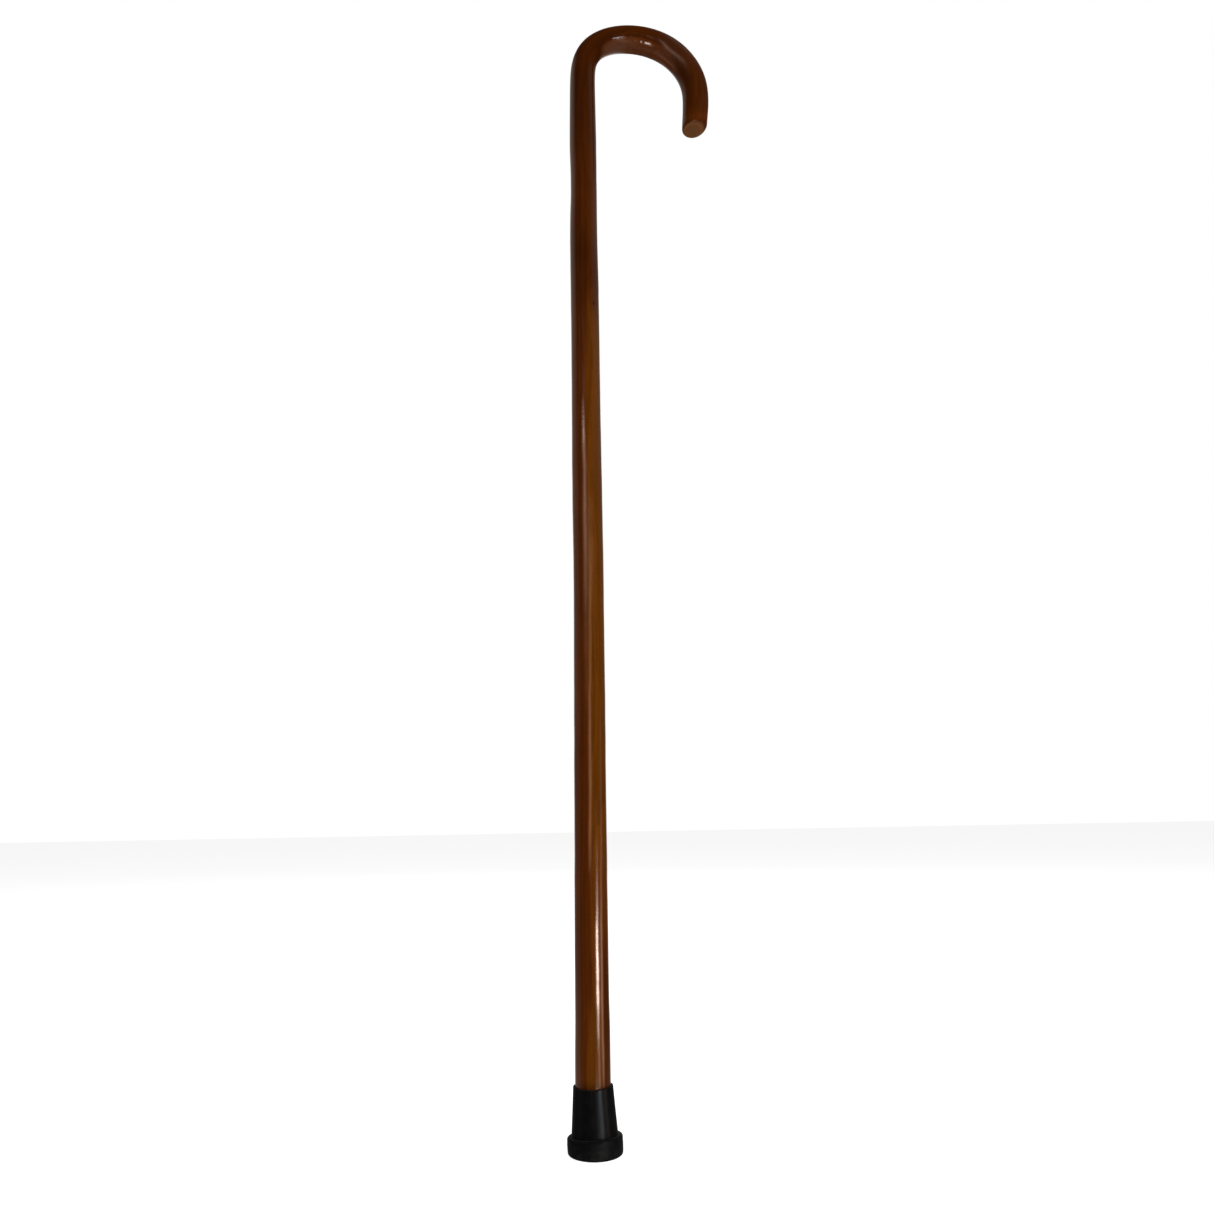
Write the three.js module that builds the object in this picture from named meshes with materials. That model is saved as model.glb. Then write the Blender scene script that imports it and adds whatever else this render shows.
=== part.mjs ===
// Crook-handled walking stick of steam-bent hardwood with a rubber foot,
// about 914 mm from the floor to the crown of the crook.
//
// Units are millimetres, +Z is up the shaft. The origin is the centre of the
// rubber foot's underside, on the floor. The crook bends towards +X and lies
// in the XZ plane, so the stick is symmetric about that plane.
//
// Three pieces:
//   stick           one continuous rod of wood: shaft and crook together
//   rubber_ferrule  moulded rubber foot, a push fit on the bottom of the shaft
//   ferrule_washer  loose steel disc on the floor of the rubber foot's socket,
//                   which stops the shaft punching through the rubber

import * as THREE from 'three';

// ---------------------------------------------------------------- dimensions

const SEGMENTS = 32;             // sides of every turned shape; the shaft and
                                 // the socket share it, so their gap is even

// Radius of the rod, measured in the plane of the crook: [length along the
// wood from the floor, radius]. 24.4 mm across at the foot, easing to 22 mm
// below the bend, pinched to 20.3 mm at the tight shoulder, then 22.9 mm over
// the falling side of the crook and 22.2 mm at its end.
const ROD_RADIUS = [
  [0, 12.20], [52, 12.20], [100, 12.02], [200, 11.85], [300, 11.76],
  [400, 11.62], [500, 11.66], [600, 11.46], [700, 11.24], [745, 10.92],
  [790, 11.12], [835, 10.88], [866, 10.50], [881, 10.26], [896, 10.14],
  [911, 10.38], [926, 10.82], [938, 11.10], [953, 11.35], [968, 11.47],
  [998, 11.43], [1023, 11.12], [1049, 11.08],
];
const FOOT_RADIUS = ROD_RADIUS[0][1];

// rubber foot
const FERRULE_HEIGHT = 44;
const FLANGE_RADIUS = 19.4;      // widest part, just above the tread
const FLANGE_HEIGHT = 12.5;
const FLANGE_ROUND = 1.8;
const FLANGE_CHAMFER = { width: 1.0, height: 1.2 };  // around the underside
const CONE_BASE_RADIUS = 15.9;   // where the tapered sleeve meets the flange
const CONE_FILLET = { width: 0.6, height: 0.8 };     // sloped strip in that corner
const RIM_RADIUS = 13.8;         // top of the tapered sleeve
const RIM_ROUND = 0.6;
const SOCKET_CLEARANCE = 0.1;    // all round the shaft; the real rubber grips
const SOCKET_RADIUS = FOOT_RADIUS + SOCKET_CLEARANCE;
const SOCKET_CHAMFER = { width: 0.3, height: 0.6 };  // around the mouth
const SOCKET_FLOOR = 8.0;

// ring grooves in the tread: [inner, outer] radii at the floor
const GROOVES = [[5.0, 7.0], [10.4, 12.4], [15.6, 17.4]];
const GROOVE_DEPTH = 1.2;
const GROOVE_SLOPE = 0.2;        // how far each wall leans in, floor to bottom

// steel disc inside the foot
const WASHER_CLEARANCE = 0.4;    // all round, inside the socket
const WASHER_RADIUS = SOCKET_RADIUS - WASHER_CLEARANCE;
const WASHER_HOLE = 3.2;         // radius
const WASHER_THICKNESS = 1.2;
const WASHER_GAP = 0.1;          // above the socket floor
const WASHER_BOTTOM = SOCKET_FLOOR + WASHER_GAP;
const WASHER_TOP = WASHER_BOTTOM + WASHER_THICKNESS;

// ends of the rod
const WOOD_GAP = 0.3;            // between the washer and the wood
const WOOD_BOTTOM = WASHER_TOP + WOOD_GAP;
const FOOT_CHAMFER = 1.0;        // broken edge at the bottom of the shaft
const TIP_ROUND = 1.6;           // rounded rim of the sawn end of the crook

// crook
const BEND_START = 842.6;        // height where the straight shaft ends
const BEND_LENGTH = 206.07;      // length of wood in the crook
const ROD_END = BEND_START + BEND_LENGTH;

// Curvature of the crook in 1/mm at equal steps along BEND_LENGTH: a tight
// shoulder of 32 mm bend radius, an open crown of 66 mm, a 50 mm falling side,
// and an end that springs back slightly so that it points nearly straight down.
const CURVATURE = [
  0, 0.00188, 0.00578, 0.01362, 0.02225, 0.02824, 0.03131, 0.02738, 0.02152,
  0.01733, 0.01509, 0.01525, 0.01566, 0.01712, 0.01888, 0.01992, 0.02044,
  0.02027, 0.02000, 0.01987, 0.01968, 0.01655, 0.01137, 0.00663, 0.00184,
  -0.00258, -0.00679,
];

// The bend flattens the rod at the shoulder, so it widens across the bend.
// Centre and spread are fractions of BEND_LENGTH.
const SHOULDER_FLAT = { widening: 0.040, centre: 0.26, spread: 0.12 };

// lengths along the wood where the rod has a ring of vertices
const SHAFT_STATIONS = [52, 100, 200, 300, 400, 500, 600, 700, 745, 790, 820];
const BEND_STATIONS = 40;
const CENTRELINE_STEPS = 4000;

// ------------------------------------------------------------------- helpers

const { lerp } = THREE.MathUtils;

// turn a profile of [radius, height] points about +Y
function turn(profile) {
  const points = profile.map(([radius, height]) => new THREE.Vector2(radius, height));
  return new THREE.LatheGeometry(points, SEGMENTS);
}

// quarter round on the upper outer corner at (radius, height), from its
// outer side up to its top, both ends in
function roundedCorner(radius, height, round, steps) {
  const points = [];
  for (let i = 0; i <= steps; i++) {
    const angle = (Math.PI / 2) * i / steps;
    points.push([
      radius - round + round * Math.cos(angle),
      height - round + round * Math.sin(angle),
    ]);
  }
  return points;
}

// --------------------------------------------------------------------- stick

function rodRadius(length) {
  const next = ROD_RADIUS.findIndex(([station]) => station >= length);
  const [start, startRadius] = ROD_RADIUS[next - 1];
  const [end, endRadius] = ROD_RADIUS[next];
  return lerp(startRadius, endRadius, (length - start) / (end - start));
}

// curvature at a fraction of the way along the bend
function curvatureAt(fraction) {
  const place = fraction * (CURVATURE.length - 1);
  const i = Math.floor(place);
  return lerp(CURVATURE[i], CURVATURE[i + 1], place - i);
}

// Add up the curvature along the bend, and return a function that gives the
// centreline's position and heading at any length along the wood. The heading
// is the angle in radians from +Z towards +X.
function makeCentreline() {
  const step = BEND_LENGTH / CENTRELINE_STEPS;
  const points = [{ x: 0, z: BEND_START, heading: 0 }];
  for (let i = 0; i < CENTRELINE_STEPS; i++) {
    const last = points[i];
    const heading = last.heading + curvatureAt((i + 0.5) / CENTRELINE_STEPS) * step;
    const middle = (last.heading + heading) / 2;
    points.push({
      x: last.x + Math.sin(middle) * step,
      z: last.z + Math.cos(middle) * step,
      heading,
    });
  }
  return (length) => {
    if (length <= BEND_START) return { x: 0, z: length, heading: 0 };
    const place = (length - BEND_START) / step;
    const i = Math.min(Math.floor(place), CENTRELINE_STEPS - 1);
    const from = points[i];
    const to = points[i + 1];
    return {
      x: lerp(from.x, to.x, place - i),
      z: lerp(from.z, to.z, place - i),
      heading: lerp(from.heading, to.heading, place - i),
    };
  };
}

// profile of the rod before bending: [radius, length along the wood]
function rodProfile() {
  const stations = [...SHAFT_STATIONS];
  for (let i = 0; i < BEND_STATIONS; i++) {
    stations.push(BEND_START + (BEND_LENGTH - TIP_ROUND) * i / BEND_STATIONS);
  }
  return [
    [0, WOOD_BOTTOM],
    [FOOT_RADIUS - FOOT_CHAMFER, WOOD_BOTTOM],
    [FOOT_RADIUS, WOOD_BOTTOM + FOOT_CHAMFER],
    ...stations.map((station) => [rodRadius(station), station]),
    ...roundedCorner(rodRadius(ROD_END), ROD_END, TIP_ROUND, 3),
    [0, ROD_END],
  ];
}

// widening of the rod across the bend
function widthFactor(length) {
  const { widening, centre, spread } = SHOULDER_FLAT;
  const fraction = (length - BEND_START) / BEND_LENGTH;
  return 1 + widening * Math.exp(-(((fraction - centre) / spread) ** 2));
}

// turn the straight rod, then bend it along the centreline
function stickGeometry() {
  const geometry = turn(rodProfile());
  const centreline = makeCentreline();
  const position = geometry.attributes.position;
  for (let i = 0; i < position.count; i++) {
    const inPlane = position.getX(i);
    const length = position.getY(i);
    const across = position.getZ(i);
    const { x, z, heading } = centreline(length);
    position.setXYZ(i,
      x + Math.cos(heading) * inPlane,
      -across * widthFactor(length),
      z - Math.sin(heading) * inPlane);
  }
  geometry.computeVertexNormals();
  return geometry;
}

// --------------------------------------------------------------- foot pieces

function ferruleGeometry() {
  const tread = GROOVES.flatMap(([inner, outer]) => [
    [inner, 0],
    [inner + GROOVE_SLOPE, GROOVE_DEPTH],
    [outer - GROOVE_SLOPE, GROOVE_DEPTH],
    [outer, 0],
  ]);
  return turn([
    [0, 0],
    ...tread,
    [FLANGE_RADIUS - FLANGE_CHAMFER.width, 0],
    [FLANGE_RADIUS, FLANGE_CHAMFER.height],
    ...roundedCorner(FLANGE_RADIUS, FLANGE_HEIGHT, FLANGE_ROUND, 3),
    [CONE_BASE_RADIUS + CONE_FILLET.width, FLANGE_HEIGHT],
    [CONE_BASE_RADIUS, FLANGE_HEIGHT + CONE_FILLET.height],
    ...roundedCorner(RIM_RADIUS, FERRULE_HEIGHT, RIM_ROUND, 2),
    [SOCKET_RADIUS + SOCKET_CHAMFER.width, FERRULE_HEIGHT],
    [SOCKET_RADIUS, FERRULE_HEIGHT - SOCKET_CHAMFER.height],
    [SOCKET_RADIUS, SOCKET_FLOOR],
    [0, SOCKET_FLOOR],
  ]);
}

function washerGeometry() {
  return turn([
    [WASHER_HOLE, WASHER_BOTTOM],
    [WASHER_RADIUS, WASHER_BOTTOM],
    [WASHER_RADIUS, WASHER_TOP],
    [WASHER_HOLE, WASHER_TOP],
    [WASHER_HOLE, WASHER_BOTTOM],
  ]);
}

// ----------------------------------------------------------------- materials

const WOOD = { color: 0x4a1f0c, roughness: 0.28, metalness: 0.0 };
const RUBBER = { color: 0x101012, roughness: 0.62, metalness: 0.0 };
const STEEL = { color: 0x9a9c9e, roughness: 0.4, metalness: 1.0 };

// ------------------------------------------------------------------ assembly

function makePiece(name, geometry, finish) {
  const mesh = new THREE.Mesh(geometry, new THREE.MeshStandardMaterial(finish));
  mesh.name = name;
  return mesh;
}

// the foot pieces are turned about +Y, so their group stands them up along +Z
const foot = new THREE.Group();
foot.name = 'foot';
foot.rotation.x = Math.PI / 2;
foot.add(makePiece('rubber_ferrule', ferruleGeometry(), RUBBER));
foot.add(makePiece('ferrule_washer', washerGeometry(), STEEL));

const walkingStick = new THREE.Group();
walkingStick.name = 'walking_stick';
walkingStick.add(makePiece('stick', stickGeometry(), WOOD));
walkingStick.add(foot);

export default walkingStick;
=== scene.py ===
"""A crook-handled walking stick of varnished bent wood, with a rubber foot and a steel washer.

The shaft stands upright on Z with its foot at the floor. The crook curls over towards +X.
The front faces roughly -Y. Lengths are in millimetres until they are written to a mesh.
"""

import math
from functools import reduce

import bpy
import numpy as np
from mathutils import Matrix, Vector


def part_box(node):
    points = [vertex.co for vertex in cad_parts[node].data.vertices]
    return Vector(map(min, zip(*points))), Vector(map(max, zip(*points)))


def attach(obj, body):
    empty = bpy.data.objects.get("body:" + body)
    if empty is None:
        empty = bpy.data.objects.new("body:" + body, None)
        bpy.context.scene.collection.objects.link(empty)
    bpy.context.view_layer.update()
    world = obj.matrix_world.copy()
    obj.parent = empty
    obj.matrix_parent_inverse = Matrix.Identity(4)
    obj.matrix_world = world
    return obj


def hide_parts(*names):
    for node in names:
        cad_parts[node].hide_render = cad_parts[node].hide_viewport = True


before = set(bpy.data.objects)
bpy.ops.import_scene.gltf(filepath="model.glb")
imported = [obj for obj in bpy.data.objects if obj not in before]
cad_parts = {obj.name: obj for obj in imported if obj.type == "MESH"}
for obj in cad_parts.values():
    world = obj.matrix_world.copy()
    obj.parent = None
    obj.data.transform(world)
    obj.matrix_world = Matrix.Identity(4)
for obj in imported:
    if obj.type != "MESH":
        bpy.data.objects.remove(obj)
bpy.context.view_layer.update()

MM = 0.001

# ------------------------------------------------------------ driving sizes (mm)
FOOT_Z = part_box("stick")[0].z / MM
rubber_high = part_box("rubber_ferrule")[1]
FERRULE_H = rubber_high.z / MM
FLANGE_R = rubber_high.x / MM
washer_low, washer_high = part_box("ferrule_washer")
WASHER_R = washer_high.x / MM
WASHER_Z0, WASHER_Z1 = washer_low.z / MM, washer_high.z / MM
WASHER_HOLE_R = 3.2
SOCKET_R = 12.55            # bore of the rubber sleeve
SOCKET_FLOOR = 8.0

BEND_START = 842.6
BEND_LENGTH = 206.07
ROD_END = BEND_START + BEND_LENGTH      # distances along the rod run from 0 to here
NECK = 9.0                  # the sawn end's rounding spreads back over this length
TIP_ROUND = 1.9
END_REACH = 1.70            # how far the middle of the sawn end stands beyond ROD_END
PROUD = 0.20                # rod surface above the frame's faceted solid

# Angles round the shaft: the side shown to the front, and the side to its right.
FRONT = math.radians(-98.25)
RIGHT = FRONT + math.pi / 2

# (distance along the rod, radius)
ROD_RADIUS = np.array([
    (0, 12.20), (52, 12.20), (75, 12.13), (100, 12.02), (150, 11.93),
    (200, 11.85), (250, 11.76), (300, 11.78), (350, 11.65), (400, 11.62),
    (450, 11.66), (475, 11.74), (500, 11.70), (550, 11.47), (600, 11.45),
    (645, 11.44), (700, 11.28), (725, 11.12), (745, 10.84), (758, 10.80),
    (775, 11.02), (796, 11.20), (815, 11.06), (835, 10.88), (866, 10.50),
    (881, 10.26), (896, 10.14), (911, 10.38), (926, 10.82), (938, 11.10),
    (953, 11.35), (968, 11.47), (983, 11.47), (998, 11.43), (1011, 11.25),
    (1023, 11.12), (1036, 11.07), (1049, 11.08)])
# curvature of the crook in radians per mm, at even steps along the bend
CURVATURE = np.array([
    0, 0.00188, 0.00578, 0.01362, 0.02225, 0.02824, 0.03131, 0.02738, 0.02152,
    0.01733, 0.01509, 0.01525, 0.01566, 0.01712, 0.01888, 0.01992, 0.02044,
    0.02027, 0.02000, 0.01987, 0.01968, 0.01655, 0.01137, 0.00663, 0.00184,
    -0.00258, -0.00679])
# (distance along the shaft, how far its middle wanders along +X)
WANDER = np.array([
    (0, 0.40), (60, 0.47), (90, 0.55), (112, 0.42), (180, 0.45), (205, 0.58),
    (240, 0.56), (300, 0.79), (350, 0.90), (421, 1.06), (455, 0.74), (541, 0.44),
    (600, 0.36), (660, 0.17), (700, -0.19), (722, -0.11), (750, 0.29), (790, -0.06),
    (820, -0.06), (842, 0.0)])

# linear colours
WOOD = {
    "deep": (0.093, 0.0192, 0.0021, 1.0),
    "mid": (0.130, 0.0300, 0.0024, 1.0),
    "amber": (0.148, 0.0410, 0.0028, 1.0),
    # partly painted reflection: the pale floor mirrored on the handle's underside
    "haze_and_reflection": (0.26, 0.118, 0.064, 1.0),
    "end": (0.215, 0.0850, 0.0300, 1.0),
    "raw": (0.420, 0.2550, 0.1250, 1.0),
}
RUBBER = {
    "base": (0.0043, 0.0043, 0.0048, 1.0),
    "bloom": (0.0150, 0.0140, 0.0122, 1.0),
    "worn": (0.0260, 0.0245, 0.0220, 1.0),
}
WHITE = (1, 1, 1, 1)

# (angle round the rod, distance along, half width, half length in mm, strength)
KNOTS = [
    (FRONT + math.radians(37.6), 638.5, 0.95, 2.3, 0.9),
    (FRONT + math.radians(160), 505.0, 1.5, 2.6, 0.75),
    (FRONT - math.radians(120), 292.0, 1.2, 2.2, 0.7),
    (FRONT + math.radians(118), 176.0, 1.3, 2.5, 0.65),
    (FRONT - math.radians(150), 741.0, 1.6, 3.0, 0.7),
    (FRONT + math.radians(205), 967.0, 1.1, 1.9, 0.6)]


# ------------------------------------------------------------------- curves
def pchip(table, x):
    """Smooth curve through a table of (x, y) that never overshoots."""
    xs, ys = table[:, 0], table[:, 1]
    step = np.diff(xs)
    slope = np.diff(ys) / step
    tangent = np.zeros_like(ys)
    for i in range(1, len(xs) - 1):
        if slope[i - 1] * slope[i] > 0:
            before, after = 2 * step[i] + step[i - 1], step[i] + 2 * step[i - 1]
            tangent[i] = (before + after) / (before / slope[i - 1] + after / slope[i])
    x = np.clip(np.asarray(x, float), xs[0], xs[-1])
    i = np.clip(np.searchsorted(xs, x) - 1, 0, len(step) - 1)
    u = (x - xs[i]) / step[i]
    return ((1 + 2 * u) * (1 - u) ** 2 * ys[i] + u * (1 - u) ** 2 * step[i] * tangent[i]
            + u * u * (3 - 2 * u) * ys[i + 1] + u * u * (u - 1) * step[i] * tangent[i + 1])


def smoothstep(start, end, x):
    u = np.clip((np.asarray(x, float) - start) / (end - start), 0, 1)
    return u * u * (3 - 2 * u)


def toward(x, y, angle):
    """How far (x, y) reaches in the direction of an angle round Z."""
    return x * math.cos(angle) + y * math.sin(angle)


def arc(x, y, radius, start, end, steps):
    angles = np.radians(np.linspace(start, end, steps + 1))
    return [(x + radius * math.cos(a), y + radius * math.sin(a)) for a in angles]


def line(first, last, steps):
    """The points between first and last, without the two ends."""
    return [(first[0] + (last[0] - first[0]) * i / steps,
             first[1] + (last[1] - first[1]) * i / steps) for i in range(1, steps)]


# ------------------------------------------------------------------- meshes
def make_mesh(name, verts, faces, solid=None):
    """A linked object; with solid coordinates it is also shaded smooth."""
    mesh = bpy.data.meshes.new(name)
    mesh.from_pydata([tuple(v) for v in verts], [], faces)
    mesh.update()
    if solid is not None:
        mesh.polygons.foreach_set("use_smooth", [True] * len(mesh.polygons))
        attribute = mesh.attributes.new("solid", "FLOAT_VECTOR", "POINT")
        attribute.data.foreach_set("vector", np.asarray(solid, np.float32).ravel())
    obj = bpy.data.objects.new(name, mesh)
    bpy.context.scene.collection.objects.link(obj)
    return obj


def points(x, y, z):
    """Grids of millimetres as a list of points in metres."""
    return np.stack(np.broadcast_arrays(x, y, z), -1).reshape(-1, 3) * MM


def round_angles(n):
    return np.arange(n) / n * 2 * math.pi


def ring_faces(rows, n, close=False):
    """Quads between consecutive rings of n vertices; close joins the last to the first."""
    faces = []
    for row in range(rows if close else rows - 1):
        a = row * n
        b = (row + 1) % rows * n
        for k in range(n):
            k2 = (k + 1) % n
            faces.append((a + k, a + k2, b + k2, b + k))
    return faces


def cap_faces(rows, n):
    """Fans to two centre points that follow the rings: the first ring's, then the last's."""
    faces = []
    last_ring = (rows - 1) * n
    centre = rows * n
    for k in range(n):
        k2 = (k + 1) % n
        faces.append((centre, k2, k))
        faces.append((centre + 1, last_ring + k, last_ring + k2))
    return faces


# -------------------------------------------------------------------- stick
def build_centreline():
    """Distance along the rod, x, z and lean angle through the bend."""
    n = 8000
    step = BEND_LENGTH / n
    share = (np.arange(n) + 0.5) * step / BEND_LENGTH
    knots = len(CURVATURE)
    curvature = np.interp(share * (knots - 1), np.arange(knots), CURVATURE)
    angle = np.concatenate([[0], np.cumsum(curvature * step)])
    middle = (angle[1:] + angle[:-1]) / 2
    x = np.concatenate([[0], np.cumsum(np.sin(middle) * step)])
    z = BEND_START + np.concatenate([[0], np.cumsum(np.cos(middle) * step)])
    return np.arange(n + 1) * step + BEND_START, x, z, angle


def centreline_at(s):
    """x, z and lean angle at a distance along the rod; below the bend it is upright."""
    line_s, line_x, line_z, line_angle = build_centreline()
    x = np.interp(s, line_s, line_x) + pchip(WANDER, s)
    z = np.where(s <= BEND_START, s, np.interp(s, line_s, line_z))
    return x, z, np.interp(s, line_s, line_angle)


def hand_finish(s, phi):
    """Slow irregularity of the wood: a few waves round and along."""
    rng = np.random.default_rng(7)
    waves = np.zeros((len(s), len(phi)))
    for _ in range(26):
        lobes = rng.integers(1, 5)
        wavelength = rng.uniform(28, 170)
        height = rng.uniform(0.010, 0.030) / (0.6 + 0.4 * lobes)
        phase_round, phase_along = rng.uniform(0, 2 * math.pi, 2)
        waves += (height * np.cos(lobes * phi[None, :] + phase_round)
                  * np.sin(2 * math.pi * s[:, None] / wavelength + phase_along))
    return waves


def rod_radius(s):
    """Mean radius, with a slight swelling above the rubber and a taper to the sawn end."""
    swelling, taper = 0.18, 0.30
    above_foot = smoothstep(39.2, 41.6, s)
    return (pchip(ROD_RADIUS, s) + PROUD * above_foot
            + swelling * (above_foot - smoothstep(70, 115, s))
            - taper * smoothstep(ROD_END - 26, ROD_END - 6, s))


def round_sawn_end(places, radii, phi, neck_rows, tip_angles, face_shares):
    """Round the end over: gently inside the crook, broadly outside and towards -Y.

    The cut runs a few degrees off square.
    """
    cos, sin = np.cos(phi), np.sin(phi)
    turn = 1.5 * (1 + cos) / 2 + 5.4 * (1 - cos) / 2 + 1.7 * (1 - sin) / 2
    reach = END_REACH + 0.58 * cos + 1.00 * sin
    face = len(places) - len(face_shares)
    tip = face - len(tip_angles)
    neck = tip - neck_rows
    edge_radius = radii[tip - 1].copy()
    weight = ((np.arange(neck_rows) + 1) / neck_rows)[:, None]
    places[neck:tip] = (ROD_END - NECK) * (1 - weight) + (ROD_END + reach - turn) * weight
    angle = tip_angles[:, None]
    places[tip:face] = ROD_END + reach - turn + turn * np.sin(angle)
    radii[tip:face] = edge_radius - turn + turn * np.cos(angle)
    share = face_shares[:, None]
    dome = 0.3 * (1 - share ** 2)
    places[face:] = ROD_END + END_REACH + share * (reach - END_REACH) + dome
    radii[face:] = (edge_radius - turn) * share


def build_stick():
    n = 144
    phi = round_angles(n)
    # the flat foot face repeats one height at growing shares of the radius
    foot_s = [FOOT_Z] * 5 + [FOOT_Z + 0.3, FOOT_Z + 0.9]
    foot_shares = [0.2, 0.4, 0.6, 0.8, 0.915, 0.965, 0.995]
    shaft_s = np.arange(FOOT_Z + 2.0, BEND_START, 2.4)
    bend_s = np.linspace(BEND_START, ROD_END - NECK, 184)
    neck_s = np.linspace(ROD_END - NECK, ROD_END - TIP_ROUND, 9)[1:]
    tip_angles = np.radians([8, 16, 24, 32, 40, 48, 56, 64, 72, 81, 90])
    tip_s = ROD_END - TIP_ROUND + TIP_ROUND * np.sin(tip_angles)
    face_shares = np.array([0.86, 0.72, 0.58, 0.44, 0.30, 0.15])
    face_s = ROD_END + 0.02 + 0.2 * (1 - face_shares ** 2)
    s = np.concatenate([foot_s, shaft_s, bend_s, neck_s, tip_s, face_s])
    shares = np.concatenate([foot_shares, np.ones(len(s) - len(foot_shares))])

    # the tight shoulder is squashed: wider in Y, with a shallow flat inside on the +Y half
    bend_share = (s - BEND_START) / BEND_LENGTH
    squash = np.exp(-(((bend_share - 0.26) / 0.12) ** 2))[:, None]
    waves = hand_finish(s, phi)
    waves += -0.16 * squash * np.exp(-((phi[None, :] / 0.55) ** 2))
    free = smoothstep(46, 60, s) * (1 - smoothstep(ROD_END - 5, ROD_END, s))
    radii = (rod_radius(s)[:, None] + waves * free[:, None]) * shares[:, None]

    places = np.repeat(s[:, None], n, 1)
    round_sawn_end(places, radii, phi, len(neck_s), tip_angles, face_shares)

    x, z, lean = centreline_at(np.minimum(places, ROD_END))
    beyond = np.maximum(places - ROD_END, 0)
    inward, across = radii * np.cos(phi), radii * np.sin(phi)
    verts = points(x + np.cos(lean) * inward + np.sin(lean) * beyond,
                   across * (1 + 0.040 * squash),
                   z - np.sin(lean) * inward + np.cos(lean) * beyond)
    solid = points(inward, across, s[:, None])
    verts = np.vstack([verts, [[x[0, 0] * MM, 0, z[0, 0] * MM]], [verts[-n:].mean(0)]])
    solid = np.vstack([solid, [[0, 0, s[0] * MM]], [[0, 0, (ROD_END + 0.22) * MM]]])
    faces = ring_faces(len(s), n) + cap_faces(len(s), n)
    return make_mesh("bent_wood_stick", verts, faces, solid)


# ------------------------------------------------------------ rubber ferrule
def tread_groove(inner, outer, depth=1.25):
    """A groove in the tread from one radius to another, with eased corners."""
    return (arc(inner - 0.25, 0.25, 0.25, -90, 0, 3)
            + [(inner + 0.08, depth - 0.3)]
            + arc(inner + 0.4, depth - 0.3, 0.3, 180, 90, 3)
            + arc(outer - 0.4, depth - 0.3, 0.3, 90, 0, 3)
            + [(outer - 0.08, 0.3)]
            + arc(outer + 0.25, 0.25, 0.25, 180, 270, 3))


def ferrule_profile():
    """(radius, height) from the middle of the tread, up the outside and down the socket."""
    rim_top = FERRULE_H - 0.60
    shoulder = 11.55
    flange_r = FLANGE_R - 0.02
    sleeve_r, rim_r = 16.28, 14.25
    belly, bead, bead_z, bead_width = 0.12, 0.14, 6.4, 0.22

    profile = [(0.6, 0.0), (2.0, 0.0), (4.7, 0.0)]
    profile += tread_groove(5.1, 6.9) + [(8.6, 0.0)]
    profile += tread_groove(10.5, 12.3) + [(14.0, 0.0)]
    profile += tread_groove(15.4, 16.9)
    profile += arc(flange_r - 1.25, 1.15, 1.15, -84, 0, 8)
    # flange wall: a slight outward belly and a raised bead
    wall_low, wall_high = 1.25, shoulder - 1.5
    for i in range(1, 24):
        z = wall_low + (wall_high - wall_low) * i / 24
        share = (z - wall_low) / (wall_high - wall_low)
        r = flange_r - belly + belly * math.sin(math.pi * (0.15 + 0.7 * share))
        r += bead * math.exp(-(((z - bead_z) / bead_width) ** 2))
        profile.append((r, z))
    profile += arc(flange_r - 1.5, shoulder - 1.5, 1.45, 0, 88, 8)
    # fillet from the shoulder into the tapered sleeve
    profile += [(sleeve_r + 0.75, shoulder)]
    profile += arc(sleeve_r + 0.55, shoulder + 0.6, 0.6, 268, 184, 6)
    profile += line((sleeve_r - 0.08, shoulder + 0.8), (rim_r - 0.03, rim_top - 1.0), 26)
    # rolled rim
    profile += arc(rim_r - 0.65, rim_top - 0.65, 0.65, 5, 90, 6)
    profile += arc(SOCKET_R + 0.35, rim_top - 0.35, 0.35, 90, 180, 4)
    # socket wall and floor
    profile += [(SOCKET_R, rim_top - 1.0)]
    profile += line((SOCKET_R, rim_top - 1.0), (SOCKET_R, 9.4), 12)
    profile += arc(SOCKET_R - 0.5, SOCKET_FLOOR + 0.5, 0.5, 0, -90, 3)
    profile += [(8.0, SOCKET_FLOOR), (4.0, SOCKET_FLOOR), (0.6, SOCKET_FLOOR)]
    return np.array(profile)


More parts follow.
